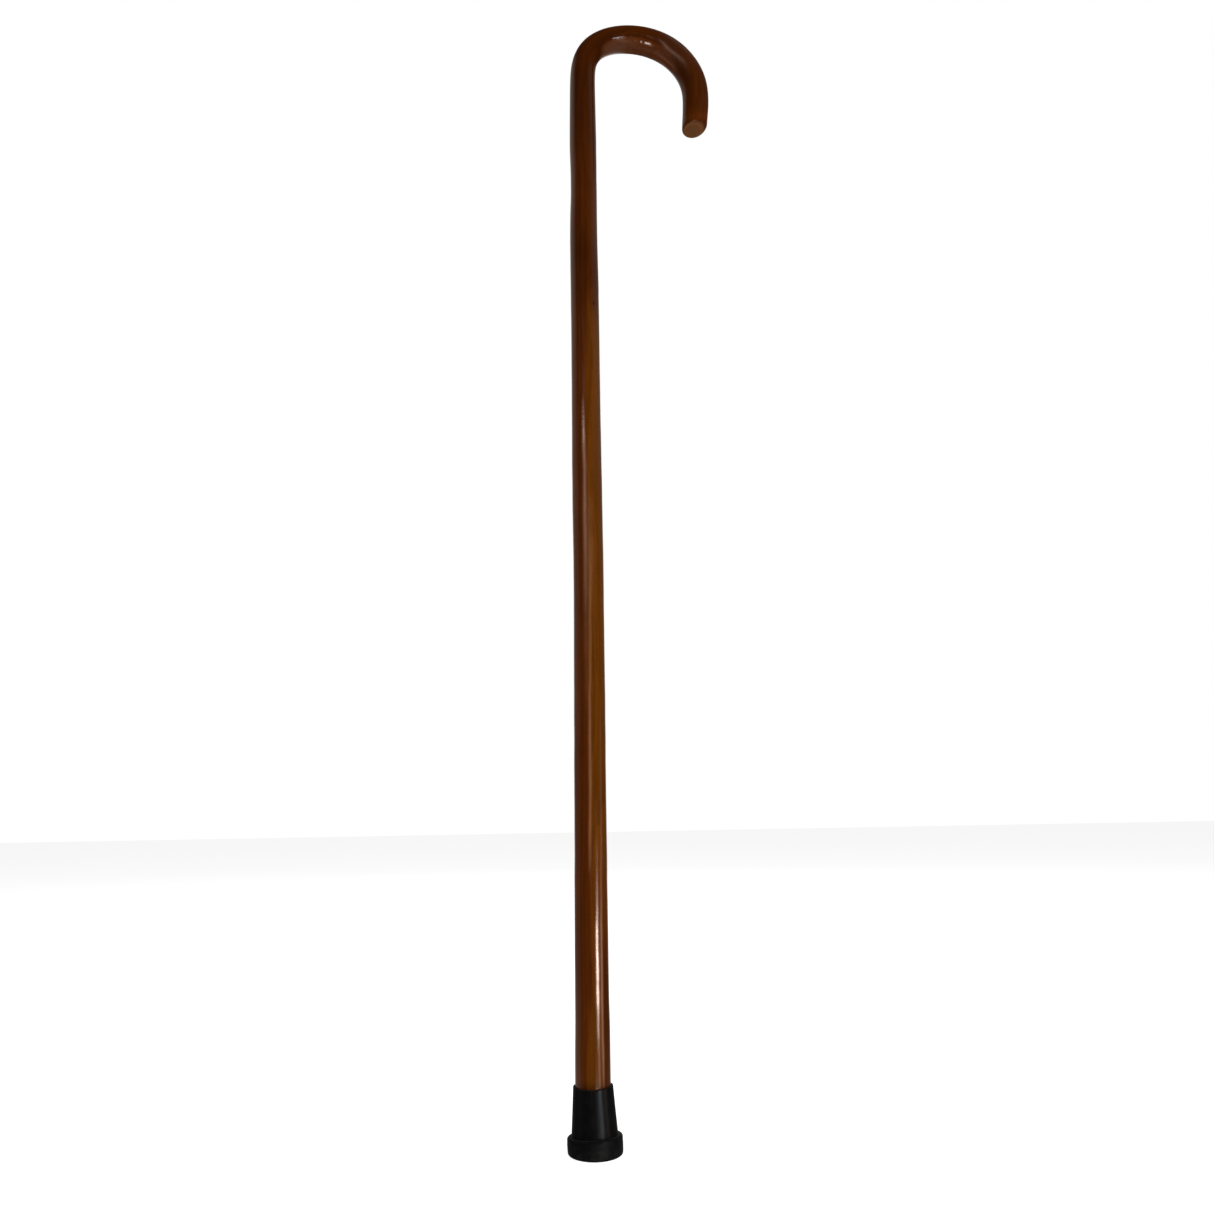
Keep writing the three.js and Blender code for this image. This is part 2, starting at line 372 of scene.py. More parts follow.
def build_ferrule():
    n = 144
    profile = ferrule_profile()
    phi = round_angles(n)
    r = profile[:, 0][:, None] * np.ones(n)
    z = profile[:, 1][:, None] * np.ones(n)
    inside = ((profile[:, 0] < SOCKET_R + 0.06) & (profile[:, 1] > SOCKET_FLOOR - 0.1))[:, None]

    # moulded rubber is never quite round
    rng = np.random.default_rng(11)
    for _ in range(7):
        lobes = rng.integers(2, 6)
        phase_round, phase_up = rng.uniform(0, 6.28, 2)
        wave = (0.035 * np.cos(lobes * phi[None, :] + phase_round)
                * np.cos(z * rng.uniform(0.05, 0.2) + phase_up) * (z > 2))
        r += np.where(inside, 0, wave)
    # vertical flash lines on opposite sides
    for angle in (RIGHT + 0.55, RIGHT + 0.55 + math.pi):
        away = (phi - angle + math.pi) % (2 * math.pi) - math.pi
        ridge = 0.11 * np.exp(-((away[None, :] * 16.0 / 0.45) ** 2))
        r += np.where(inside | (z < 1.5), 0, ridge)
    x, y = r * np.cos(phi), r * np.sin(phi)

    # The foot sits askew on the shaft: the tread stays flat on the floor, the outside
    # shifts right and forward lower down, and shoulder and rim tilt.
    to_right, to_back = toward(x, y, RIGHT), -toward(x, y, FRONT)
    tilt_from = 11.5
    up = np.clip((z - tilt_from) / (FERRULE_H - tilt_from), 0, 1)
    tilt = ((0.042 * (1 - up) + 0.022 * up) * to_right
            + (-0.069 * (1 - up) + 0.004 * up) * to_back)
    down = 1 - z / FERRULE_H
    shift_right = np.where(inside, 0.0, 0.46 + 1.27 * down)
    shift_front = np.where(inside, 0.0, 0.66 * down)
    x = x + shift_right * math.cos(RIGHT) + shift_front * math.cos(FRONT)
    y = y + shift_right * math.sin(RIGHT) + shift_front * math.sin(FRONT)
    verts = points(x, y, np.where(inside, z, z + smoothstep(2.0, 9.0, z) * tilt))
    centres = [verts[:n].mean(0), verts[-n:].mean(0)]
    faces = ring_faces(len(profile), n) + cap_faces(len(profile), n)
    return make_mesh("rubber_foot", np.vstack([verts, centres]), faces,
                     np.vstack([points(x, y, z), centres]))


# -------------------------------------------------------------------- washer
def build_washer():
    n = 128
    middle = (WASHER_Z0 + WASHER_Z1) / 2
    half = (WASHER_Z1 - WASHER_Z0) / 2
    bottom, top = middle - half, middle + half
    hole, rim = WASHER_HOLE_R, WASHER_R
    bevel, rim_bevel, dish = 0.28, 0.45, 0.05
    profile = [(hole + bevel, bottom)]
    profile += line((hole + bevel, bottom), (rim - 2 * bevel, bottom), 10)
    profile += arc(rim - rim_bevel, bottom + rim_bevel, rim_bevel, -90, 0, 5)
    profile += arc(rim - bevel, top - bevel, bevel, 0, 90, 4)
    profile += line((rim - bevel, top), (hole + 0.5, top), 12)
    profile += arc(hole + bevel, top - bevel, bevel, 90, 180, 4)
    profile += arc(hole + bevel, bottom + bevel, bevel, 180, 270, 4)[:-1]
    profile = np.array(profile)
    phi = round_angles(n)
    r = profile[:, 0][:, None] * np.ones(n)
    z = profile[:, 1][:, None] * np.ones(n)
    # the upper face dishes slightly towards the hole
    z = z - dish * (1 - ((r - hole) / (rim - hole)) ** 2) * (z > middle)
    verts = points(r * np.cos(phi), r * np.sin(phi), z)
    return make_mesh("steel_washer", verts, ring_faces(len(profile), n, close=True), verts)


# ------------------------------------------------------------ node building
class Value:
    """A node output; arithmetic on it adds Math nodes to its tree."""

    def __init__(self, tree, socket):
        self.tree = tree
        self.socket = socket

    def __add__(self, other):
        return self.tree.math("ADD", self, other)

    def __sub__(self, other):
        return self.tree.math("SUBTRACT", self, other)

    def __rsub__(self, other):
        return self.tree.math("SUBTRACT", other, self)

    def __mul__(self, other):
        return self.tree.math("MULTIPLY", self, other)

    def __truediv__(self, other):
        return self.tree.math("DIVIDE", self, other)

    def max(self, other):
        return self.tree.math("MAXIMUM", self, other)

    def scaled(self, by, plus):
        return self.tree.math("MULTIPLY_ADD", self, by, plus)

    def vary(self, amount, about=1.0):
        """Noise centred on 0.5, turned into a spread about another level."""
        return (self - 0.5).scaled(by=amount, plus=about)

    def change(self, where, by):
        """Multiply by 1 + by where the mask is 1."""
        return self * where.scaled(by=by, plus=1.0)

    def sibling(self, output):
        """Another output of the same node."""
        return Value(self.tree, self.socket.node.outputs[output])

    def ramp(self, start, end, low=0.0, high=1.0, kind="SMOOTHSTEP"):
        """Go from low to high as this goes from start to end."""
        return self.tree.node("MapRange", {
            "Value": self, "From Min": start, "From Max": end, "To Min": low, "To Max": high,
        }, interpolation_type=kind)

    def stops(self, table, start, end, low=0.0, high=1.0):
        """Piecewise-linear curve: table is (x, y), x in start..end and y in low..high."""
        share = self.ramp(start, end, kind="LINEAR")
        curve = self.tree.node("ValToRGB", {0: share})
        elements = curve.socket.node.color_ramp.elements
        elements.remove(elements[-1])
        elements[0].position = (table[0][0] - start) / (end - start)
        for i, (x, y) in enumerate(table):
            element = elements[0] if i == 0 else elements.new((x - start) / (end - start))
            element.color = ((y - low) / (high - low),) * 3 + (1,)
        level = self.tree.node("SeparateColor", {0: curve})
        if (low, high) == (0.0, 1.0):
            return level
        return level.scaled(by=high - low, plus=low)


class Tree:
    """An emptied node tree of a material or world."""

    def __init__(self, owner):
        owner.use_nodes = True
        self.nodes = owner.node_tree.nodes
        self.links = owner.node_tree.links
        self.nodes.clear()

    def put(self, socket, value):
        if isinstance(value, Value):
            self.links.new(value.socket, socket)
        else:
            socket.default_value = value

    def node(self, kind, inputs, output=0, **settings):
        node = self.nodes.new("ShaderNode" + kind)
        for key, setting in settings.items():
            setattr(node, key, setting)
        for key, value in inputs.items():
            self.put(node.inputs[key], value)
        return Value(self, node.outputs[output])

    def finish(self, kind, shader):
        """Link a shader to a new Material or World output."""
        self.put(self.nodes.new("ShaderNodeOutput" + kind).inputs[0], shader)

    def principled(self, inputs):
        self.finish("Material", self.node("BsdfPrincipled", inputs))

    def math(self, operation, *values):
        return self.node("Math", dict(enumerate(values)), operation=operation)

    def vector_math(self, operation, *values):
        return self.node("VectorMath", dict(enumerate(values)), operation=operation)

    def length(self, x, y):
        return self.math("SQRT", x * x + y * y)

    def vector(self, x, y, z):
        return self.node("CombineXYZ", {0: x, 1: y, 2: z})

    def xyz(self, vector):
        first = self.node("SeparateXYZ", {0: vector})
        return first, first.sibling(1), first.sibling(2)

    def solid(self):
        """The mesh's own solid coordinates, in metres."""
        return self.node("Attribute", {}, "Vector", attribute_name="solid")

    def noise(self, vector, scale=1.0, detail=2.0, rough=0.5):
        return self.node("TexNoise", {"Vector": vector, "Scale": scale, "Detail": detail,
                                      "Roughness": rough})

    def mix(self, share, first, second):
        return self.node("Mix", {"Factor": share, 6: first, 7: second}, 2, data_type="RGBA")

    def shade(self, color, level):
        """A colour multiplied by a grey level."""
        grey = self.node("CombineColor", {0: level, 1: level, 2: level})
        return self.node("Mix", {"Factor": 1.0, 6: color, 7: grey}, 2,
                         data_type="RGBA", blend_type="MULTIPLY")

    def bump(self, height, distance, strength, **normal):
        return self.node("Bump", {"Strength": strength, "Distance": distance,
                                  "Height": height, **normal})


def new_material(name):
    material = bpy.data.materials.new(name)
    return material, Tree(material)


def srgb(*channels):
    """sRGB 0-255 to linear."""
    def linear(c):
        return c / 12.92 if c <= 0.04045 else ((c + 0.055) / 1.055) ** 2.4
    return tuple(linear(c / 255) for c in channels) + (1.0,)


# ---------------------------------------------------------- varnished wood
class Rod:
    """Positions on the rod, and the grain and masks that several layers share."""

    def __init__(self, tree):
        self.tree = tree
        self.x, self.y, self.s = tree.xyz(tree.solid())
        self.mm = self.s * 1000.0
        self.radius = tree.length(self.x, self.y)
        safe_radius = self.radius.max(1e-5)
        self.round_x, self.round_y = self.x / safe_radius, self.y / safe_radius
        self.side = self.toward(RIGHT)      # -1 left to 1 right, as seen from the front
        self.normal = tree.node("NewGeometry", {}, "Normal")
        self.normal_x, self.normal_y, self.normal_z = tree.xyz(self.normal)

        # streaks of noise drawn out along the grain, from broad to fine
        self.drift = self.streaks(across=60, along=5)
        self.drift_fine = self.streaks(across=150, along=9, offset=40, detail=3)
        self.fibre = self.streaks(across=900, along=16, detail=3, rough=0.6)
        self.fine = self.streaks(across=2600, along=46, offset=11, detail=3, rough=0.62)
        self.blotch = self.streaks(across=95, along=26, offset=7, detail=3, rough=0.55)
        self.add_rings()
        self.knots = self.add_knots()

        # masks: the deeper-stained right flank near the foot, the grip of the rubber
        self.near_foot = self.mm.ramp(start=165, end=105)
        self.flank = self.near_foot * self.side.ramp(start=0.42, end=0.68)
        self.grip = self.mm.ramp(start=40.4, end=42.2, low=1.0, high=0.0)
        rubbing = self.streaks(across=240, along=90, offset=3, detail=4)
        self.scuff = self.grip * rubbing.ramp(start=0.46, end=0.62)
        # the sawn end of the crook, the underside of the foot, and their open cells
        self.end_mask = self.mm.ramp(start=ROD_END - 0.75, end=ROD_END - 0.06)
        self.foot_mask = self.mm.ramp(start=FOOT_Z + 0.02, end=FOOT_Z + 0.35,
                                      low=1.0, high=0.0)
        self.ends = self.end_mask.max(self.foot_mask)
        self.cells = tree.noise(tree.vector(self.x * 1900, self.y * 1900, 0.0),
                                detail=3, rough=0.6)

    def toward(self, angle):
        """Cosine between this point's side and an angle round the rod."""
        return toward(self.round_x, self.round_y, angle)

    def normal_toward(self, angle):
        return toward(self.normal_x, self.normal_y, angle)

    def streaks(self, across, along, offset=0.0, **noise):
        place = self.tree.vector(self.x * across, self.y * across,
                                 self.s.scaled(by=along, plus=offset))
        return self.tree.noise(place, **noise)

    def wander(self, seed_x, seed_y, along):
        """Noise that changes only along the rod."""
        return self.tree.noise(self.tree.vector(seed_x, seed_y, self.s * along), detail=1)

    def along(self, table, high=1.0):
        """A level set by a table of (mm along the rod, level)."""
        return self.mm.stops(table, 0, 1050, 0.0, high)

    def add_rings(self):
        """Growth rings about a pith off the rod's axis, and the vessels between them."""
        ring_width = 0.0021
        pith_x = self.wander(0.0, 3.0, along=4.0).scaled(by=0.010, plus=-0.0105)
        pith_y = self.wander(9.0, 3.0, along=4.0).scaled(by=0.010, plus=0.0015)
        distance = self.tree.length(self.x - pith_x, self.y - pith_y)
        distance = distance + (self.drift_fine - 0.5) * 0.0030
        phase = self.tree.math("FRACT", distance * (1 / ring_width))
        # slow rise, sudden end of each year
        self.ring = (phase.ramp(start=0.0, end=1.0)
                     * phase.ramp(start=0.93, end=1.0, low=1.0, high=0.0))
        # short dark dashes, crowded at each year's start
        dashes = self.streaks(across=4200, along=110, offset=5, detail=1, rough=0.4)
        self.pores = (dashes.ramp(start=0.60, end=0.72)
                      * phase.ramp(start=0.0, end=0.55, low=1.0, high=0.25))

    def add_knots(self):
        """Dark spots, each with a faint halo, on their own side of the rod only."""
        mean_radius = 11.5
        knots = []
        for angle, place, half_width, half_length, strength in KNOTS:
            distance = self.tree.length(
                self.toward(angle + math.pi / 2) * (mean_radius / half_width),
                (self.mm - place) * (1 / half_length))
            distance = distance + (self.fibre - 0.5) * 0.5
            distance = distance + self.toward(angle).ramp(start=0.0, end=0.2,
                                                          low=50.0, high=0.0)
            spot = distance.ramp(start=0.55, end=1.25, low=1.0, high=0.0) * strength
            halo = distance.ramp(start=1.0, end=4.5, low=0.22 * strength, high=0.0)
            knots.append(spot.max(halo))
        return reduce(Value.max, knots)


def wood_tone(rod):
    """The stain's hue: 0 deep maroon brown, 1 honey amber."""
    # amber front-right flank of the shaft, fading out above the knot at 638.5
    amber_level = rod.along([
        (0, 0.95), (70, 0.92), (110, 0.66), (150, 0.48), (178, 0.60), (215, 0.92),
        (300, 0.97), (420, 1.0), (560, 0.96), (622, 0.88), (642, 0.50), (660, 0.16),
        (760, 0.07), (850, 0.03), (930, 0.02), (990, 0.14), (1050, 0.20)])
    left_limit = rod.along([
        (0, 0.05), (60, 0.05), (120, 0.42), (190, 0.26), (260, 0.24), (330, 0.24),
        (430, 0.30), (560, 0.36), (620, 0.46), (700, 0.62), (860, 0.75), (960, 0.55),
        (1050, 0.5)]).scaled(by=1.0, plus=-0.42)
    edge = rod.side + (rod.drift - 0.5) * 0.25
    right_side = edge.ramp(start=left_limit - 0.14, end=left_limit + 0.20)
    amber_front = amber_level * right_side * rod.toward(FRONT).ramp(start=-0.55, end=0.0)

    # broad bands on the sides that face away: one back right, one back left
    back_right = rod.toward(FRONT + 2.55) + (rod.drift - 0.5) * 0.7
    back_right = (back_right.ramp(start=0.35, end=0.95)
                  * rod.wander(2.0, 5.0, along=7.0).ramp(start=0.38, end=0.62) * 0.75)
    back_left = rod.toward(FRONT - 1.9) + (rod.drift_fine - 0.5) * 0.7
    back_left = (back_left.ramp(start=0.75, end=1.0)
                 * rod.wander(7.0, 1.0, along=5.0).ramp(start=0.45, end=0.62, high=0.5))
    back_right, back_left = [band * rod.mm.ramp(start=850, end=885, low=1.0, high=0.08)
                             for band in (back_right, back_left)]
    tone = amber_front.max(back_right.max(back_left))

    # the shaft warms up all round towards the foot
    warmth = rod.along([
        (0, 0.34), (60, 0.32), (90, 0.26), (130, 0.12), (200, 0.13), (300, 0.11),
        (420, 0.08), (620, 0.05), (800, 0.03), (1050, 0.05)])
    tone = tone.max(warmth * rod.side.ramp(start=-1.0, end=1.0, low=0.55, high=1.35))
    tone = tone + (rod.blotch - 0.5) * 0.16
    tone = tone.change(rod.flank, by=-0.8)
    return rod.tree.math("MINIMUM", tone.max(0.0), 1.0)


def wood_shade(rod):
    """Lightness of the wood: grain, knots, dirt, painted shade at the rubber's rim, painted
    light under the handle, and slow changes along the rod.
    """
    shade = rod.fibre.vary(amount=0.62)
    shade = shade * rod.fine.vary(amount=0.34)
    shade = shade * rod.ring.scaled(by=-0.22, plus=1.10)
    shade = shade * rod.blotch.vary(amount=0.34)
    shade = shade.change(rod.pores, by=-0.30)
    shade = shade.change(rod.knots, by=-0.85)
    # a dark line at the rubber's rim, partly dirt and partly painted shade where the rubber
    # meets the wood, and scuffs below it
    rim_dirt_and_shade = rod.mm.ramp(start=43.0, end=50.0, low=0.42, high=0.0)
    shade = shade.change(rim_dirt_and_shade, by=-1.0)
    shade = shade.change(rod.scuff, by=-0.55)
    # darker on the bend and upper shaft, lighter near the foot
    shade = shade * rod.along([
        (0, 1.28), (60, 1.24), (75, 1.24), (100, 1.20), (127, 1.16), (154, 1.20),
        (230, 1.18), (268, 1.14), (330, 1.17), (390, 1.15), (460, 1.12), (510, 1.12),
        (575, 1.12), (605, 1.02), (630, 0.93), (655, 0.76), (683, 0.68), (705, 0.80),
        (740, 0.97), (778, 0.82), (806, 0.70), (834, 0.64), (860, 0.64), (900, 0.70),
        (960, 0.70), (990, 0.66), (1015, 0.70), (1050, 0.86)], high=1.5)
    # deeper towards the right, and on the left near the foot
    right = rod.mm.ramp(start=160, end=240) * rod.side.ramp(start=0.25, end=0.9)
    shade = shade.change(right, by=-0.19)
    shade = shade.change(rod.near_foot * rod.side.ramp(start=-0.45, end=-0.75), by=-0.16)
    # the underside of the handle is painted paler: painted light standing in for light bounced
    # up from the floor
    pale = rod.along([(0, 0), (880, 0), (905, 0.9), (960, 1.0), (985, 0.6), (1005, 0.0),
                      (1050, 0)])
    shade = shade.change(pale * rod.normal_z.ramp(start=-0.40, end=-0.62), by=1.25)
    shade = shade.change(rod.flank, by=-0.28)
    return shade.change(rod.mm.ramp(start=ROD_END - 15, end=ROD_END - 3), by=0.20)


def wood_color(rod):
    tree = rod.tree
    tone = wood_tone(rod)
    dark = tree.mix(tone.ramp(start=0.0, end=0.42, kind="LINEAR"), WOOD["deep"], WOOD["mid"])
    color = tree.mix(tone.ramp(start=0.38, end=0.95, kind="LINEAR"), dark, WOOD["amber"])
    color = tree.shade(color, wood_shade(rod))
    # haze on the underside of the handle, partly varnish haze and partly painted reflection of
    # the pale floor below
    haze_and_reflection = rod.along([(0, 0), (872, 0), (890, 0.9), (925, 1.0), (945, 0.5), (958, 0.2),
                      (985, 0.1), (1005, 0), (1050, 0)])
    haze_and_reflection = haze_and_reflection * rod.normal_z.ramp(start=-0.46, end=-0.76) * 0.30
    color = tree.mix(haze_and_reflection, color, WOOD["haze_and_reflection"])

    # end grain, with a painted highlight: a slightly lighter band round the edge
    rays = tree.noise(tree.vector(rod.round_x * 26, rod.round_y * 26, rod.radius * 40),
                      detail=2)
    grain = rod.cells.vary(amount=0.7)
    grain = grain * rod.ring.scaled(by=-0.34, plus=1.14)
    grain = grain * rays.vary(amount=0.35)
    painted_edge_highlight = (rod.mm.ramp(start=ROD_END - 0.35, end=ROD_END - 0.10)
                 * rod.mm.ramp(start=ROD_END - 0.02, end=ROD_END + 0.06, low=1.0, high=0.0))
    grain = grain.change(painted_edge_highlight, by=0.22)
    color = tree.mix(rod.end_mask * 0.92, color, tree.shade(WOOD["end"], grain))
    return tree.mix(rod.foot_mask, color, tree.shade(WOOD["raw"], grain))


def wood_gloss(rod):
    """Strength of the varnish's reflection."""
    gloss = rod.ends.scaled(by=-0.55, plus=1.0)
    gloss = gloss.change(rod.scuff, by=-0.5)
    # rubbed dull on the handle, except on its underside
    worn = rod.along([
        (0, 0), (862, 0), (874, 0.97), (906, 0.97), (912, 0.22), (918, 0.22), (923, 0.95),
        (925, 0.85), (930, 0.3), (942, 0.3), (950, 0.6), (960, 0.1), (985, 0.3),
        (1000, 0.8), (1050, 0.8)]) * rod.normal_z.ramp(start=-0.70, end=-0.50)
    crown = rod.along([
        (0, 0), (862, 0), (874, 0.97), (940, 0.97), (952, 0.3), (961, 0), (1050, 0),
    ]) * rod.normal_z.ramp(start=-0.36, end=-0.20)
    gloss = gloss * (1.0 - worn.max(crown))
    gloss = gloss * rod.along([
        (0, 1), (850, 1), (890, 0.32), (906, 0.32), (913, 0.7), (918, 0.7), (924, 0.4),
        (932, 0.6), (942, 0.6), (952, 0.4), (962, 1.0), (982, 0.9), (1005, 0.32),
        (1050, 0.32)])
    # still bright along the inside of the drop, which faces left
    inner = (rod.normal_toward(RIGHT).ramp(start=-0.66, end=-0.90)
             * rod.mm.ramp(start=962, end=990))
    gloss = gloss.max(inner * 0.6)
    # a matt patch on the handle, glossy only in three specks: (place, half length)
    specks = reduce(Value.max, [
        rod.tree.math("ABSOLUTE", rod.mm - place).ramp(start=0.4 * half, end=half,
                                                       low=1.0, high=0.0)
        for place, half in [(927.4, 1.1), (931.2, 0.9), (937.2, 1.2)]])
    patch = (rod.mm.ramp(start=922.0, end=924.0)
             * rod.mm.ramp(start=940.0, end=942.0, low=1.0, high=0.0))
    gloss = gloss * (1.0 - patch * specks.scaled(by=-0.98, plus=0.98))
    # under the bend and away from the front it is duller
    behind_bend = rod.along([(0, 0), (905, 0), (925, 1), (980, 1), (992, 0), (1050, 0)])
    behind_bend = behind_bend * rod.normal_toward(FRONT).ramp(start=0.40, end=0.15)
    behind_bend = behind_bend * rod.normal_z.ramp(start=-0.05, end=-0.30)
    gloss = gloss.change(behind_bend, by=-0.92)
    return gloss * rod.along([(0, 0.5), (950, 0.5), (959, 1.0), (982, 1.0), (992, 0.5),
                              (1050, 0.5)])


def wood_roughness(rod):
    dull = rod.streaks(across=130, along=45, offset=21, detail=3)
    rough = dull.ramp(start=0.4, end=0.75).scaled(by=0.05, plus=0.065)
    rough = rough + rod.along([
        (0, 0), (870, 0), (905, 0.14), (922, 0.14), (930, 0.03), (942, 0.03), (955, 0.22),
        (985, 0.26), (1010, 0.20), (1050, 0.20)])
    return rough + rod.ends * 0.30 + rod.grip * 0.12


def wood_relief(rod):
    """Height of the varnish: sag and peel, with the fibres telegraphing through."""
    under = rod.fibre * 0.6 + rod.fine * 0.4 - rod.pores * 0.5 - rod.knots * 0.5
    sag = rod.streaks(across=170, along=34, offset=60, detail=2, rough=0.45)
    peel = rod.streaks(across=900, along=500, offset=9, detail=1)
    height = sag * 1.0 + peel * 0.035 + under * 0.030 + rod.ends * rod.cells * 0.35
    # uneven places on the handle, which break the light up
    lumps = rod.streaks(across=330, along=230, offset=2, detail=1, rough=0.4)
    height = height + lumps * rod.along([
        (0, 0), (880, 0), (915, 0.16), (928, 0.5), (944, 0.5), (955, 0.20), (985, 0.20),
        (1010, 0.05), (1050, 0)])
    beads = rod.streaks(across=430, along=480, offset=33, detail=1, rough=0.4)
    return height + beads * rod.along([
        (0, 0.02), (118, 0.03), (140, 0.05), (180, 0.04), (200, 0.02), (500, 0.02),
        (518, 0.10), (542, 0.10), (560, 0.02), (1050, 0.02)])


def wood_normal(rod):
    """The surface normal, tilted in three stretches on the front of the crook."""
    tree = rod.tree
    front_side = rod.normal_toward(FRONT).ramp(start=0.35, end=0.65)
    drop = rod.along([(0, 0), (956, 0), (965, 1), (974, 0.9), (984, 0.25), (990, 0),
                      (1050, 0)]) * front_side
    above_drop = rod.along([(0, 0), (946, 0), (953, 1), (958, 0.8), (966, 0),
                            (1050, 0)]) * front_side
    handle = rod.along([(0, 0), (906, 0), (912, 0.6), (918, 1), (924, 0.3), (930, 0),
                        (1050, 0)]) * front_side
    to_right = above_drop * -0.26 + handle * 0.06
    upward = drop * 0.24 + above_drop * 0.10 + handle * 0.09
    tilt = tree.vector(to_right * math.cos(RIGHT), to_right * math.sin(RIGHT), upward)
    tilted = tree.vector_math("NORMALIZE", tree.vector_math("ADD", rod.normal, tilt))
    return tree.bump(wood_relief(rod), distance=0.00022, strength=0.55, Normal=tilted)


def wood_material():
    material, tree = new_material("stained_varnished_hardwood")
    rod = Rod(tree)
    # amber varnish mirrors warm, and clearer on the handle
    clear = (rod.mm.ramp(start=862, end=890)
             * rod.mm.ramp(start=946, end=958, low=1.0, high=0.0))
    tree.principled({
        "Base Color": wood_color(rod),
        "Specular IOR Level": wood_gloss(rod),
        "Specular Tint": tree.mix(clear, (1.0, 0.745, 0.62, 1.0), (1.0, 0.93, 0.88, 1.0)),
        "Roughness": wood_roughness(rod),
        "Normal": wood_normal(rod),
    })
    return material


# ------------------------------------------------------------------- rubber
def rubber_material():
    material, tree = new_material("moulded_black_rubber")
    solid = tree.solid()
    x, y, z = tree.xyz(solid)
    mm = z * 1000.0
    mould = tree.noise(solid, scale=2600, detail=3, rough=0.6)
    cloud = tree.noise(solid, scale=190, detail=4, rough=0.6)
    streak = tree.noise(tree.vector(x * 420, y * 420, z * 40), detail=3, rough=0.6)
    pointiness = tree.node("NewGeometry", {}, "Pointiness")
    edge = pointiness.ramp(start=0.505, end=0.56)
    hollow = pointiness.ramp(start=0.495, end=0.45)

    # grey bloom and dust: low down, on worn edges and in hollows
    low = mm.ramp(start=13.0, end=1.0)
    bloom = cloud.ramp(start=0.42, end=0.72) * low.scaled(by=0.75, plus=0.18)
    bloom = bloom.max(edge * cloud.ramp(start=0.35, end=0.6, low=0.15, high=0.6))
    bloom = bloom.max(hollow * 0.25)
    tread = mm.ramp(start=0.35, end=0.05)
    worn = tread * cloud.ramp(start=0.3, end=0.6, low=0.4, high=1.0)
    color = tree.mix(bloom, RUBBER["base"], RUBBER["bloom"])
    color = tree.mix(worn * 0.8, color, RUBBER["worn"])
    rough = cloud.vary(amount=0.20, about=0.34) + low * 0.18 + worn * 0.2

    # reflections die away towards grazing; the sleeve has the stronger coat
    facing = tree.node("LayerWeight", {"Blend": 0.5}, "Facing")
    graze = facing.ramp(start=0.10, end=0.42, low=1.0, high=0.06)
    polish = mm.ramp(start=12.0, end=14.5, low=0.03, high=0.15)

    # the coat sees a normal turned towards the horizontal
    normal_x, normal_y, normal_z = tree.xyz(pointiness.sibling("Normal"))
    level = tree.vector_math("NORMALIZE", tree.vector(normal_x, normal_y, normal_z * 0.15))
    height = mould * 0.5 + streak * 0.25 + cloud * 0.35
    tree.principled({
        "Base Color": tree.shade(color, streak.vary(amount=0.5)),
        "Roughness": rough,
        "Specular IOR Level": graze * 0.055,
        "Specular Tint": (0.90, 0.95, 1.0, 1.0),
        "Coat Weight": graze * polish,
        "Coat Roughness": cloud.vary(amount=0.16, about=0.20),
        "Coat IOR": 1.5,
        "Coat Tint": (0.93, 0.96, 1.0, 1.0),
        # standing dust catches light at grazing angles
        "Sheen Weight": low.scaled(by=0.06, plus=0.04),
        "Sheen Roughness": 0.45,
        "Normal": tree.bump(height, distance=0.00010, strength=0.55),
        "Coat Normal": tree.bump(height, distance=0.00005, strength=0.5, Normal=level),
    })
    return material


# --------------------------------------------------------------------- zinc
def zinc_material():
    material, tree = new_material("zinc_plated_steel")
    solid = tree.solid()
    x, y, _ = tree.xyz(solid)
    turned = tree.noise(tree.vector(tree.length(x, y) * 5200, 0.0, 0.0), detail=3, rough=0.6)
    cloud = tree.noise(solid, scale=420, detail=4, rough=0.6)
    cells = tree.node("TexVoronoi", {"Vector": solid, "Scale": 900}, "Color", feature="F1")
    spangle = tree.node("SeparateColor", {0: cells})
    base = tree.mix(cloud.ramp(start=0.35, end=0.7), srgb(182, 186, 190), srgb(138, 140, 140))
    tree.principled({
        "Base Color": tree.shade(base, spangle.scaled(by=0.16, plus=0.90)),
        "Metallic": 1.0,
        "Roughness": cloud.scaled(by=0.28, plus=0.24),
        "Normal": tree.bump(turned + cloud * 0.6, distance=0.00004, strength=0.8),
    })
    return material


# -------------------------------------------------------------------- floor
def build_floor():
    """A pale floor that the camera sees brightened and reflections do not see."""
    half = 9
    floor = make_mesh("studio_floor", [(-half, -half, 0), (half, -half, 0), (half, half, 0),
                                       (-half, half, 0)], [(0, 1, 2, 3)])
    material, tree = new_material("pale_floor")
    diffuse = tree.node("BsdfDiffuse", {"Color": (0.80, 0.80, 0.80, 1)})
    glow = tree.node("LightPath", {}, "Is Camera Ray") * 0.80
    emission = tree.node("Emission", {"Color": WHITE, "Strength": glow})
    tree.finish("Material", tree.node("AddShader", {0: diffuse, 1: emission}))
    floor.data.materials.append(material)
    floor.visible_glossy = False


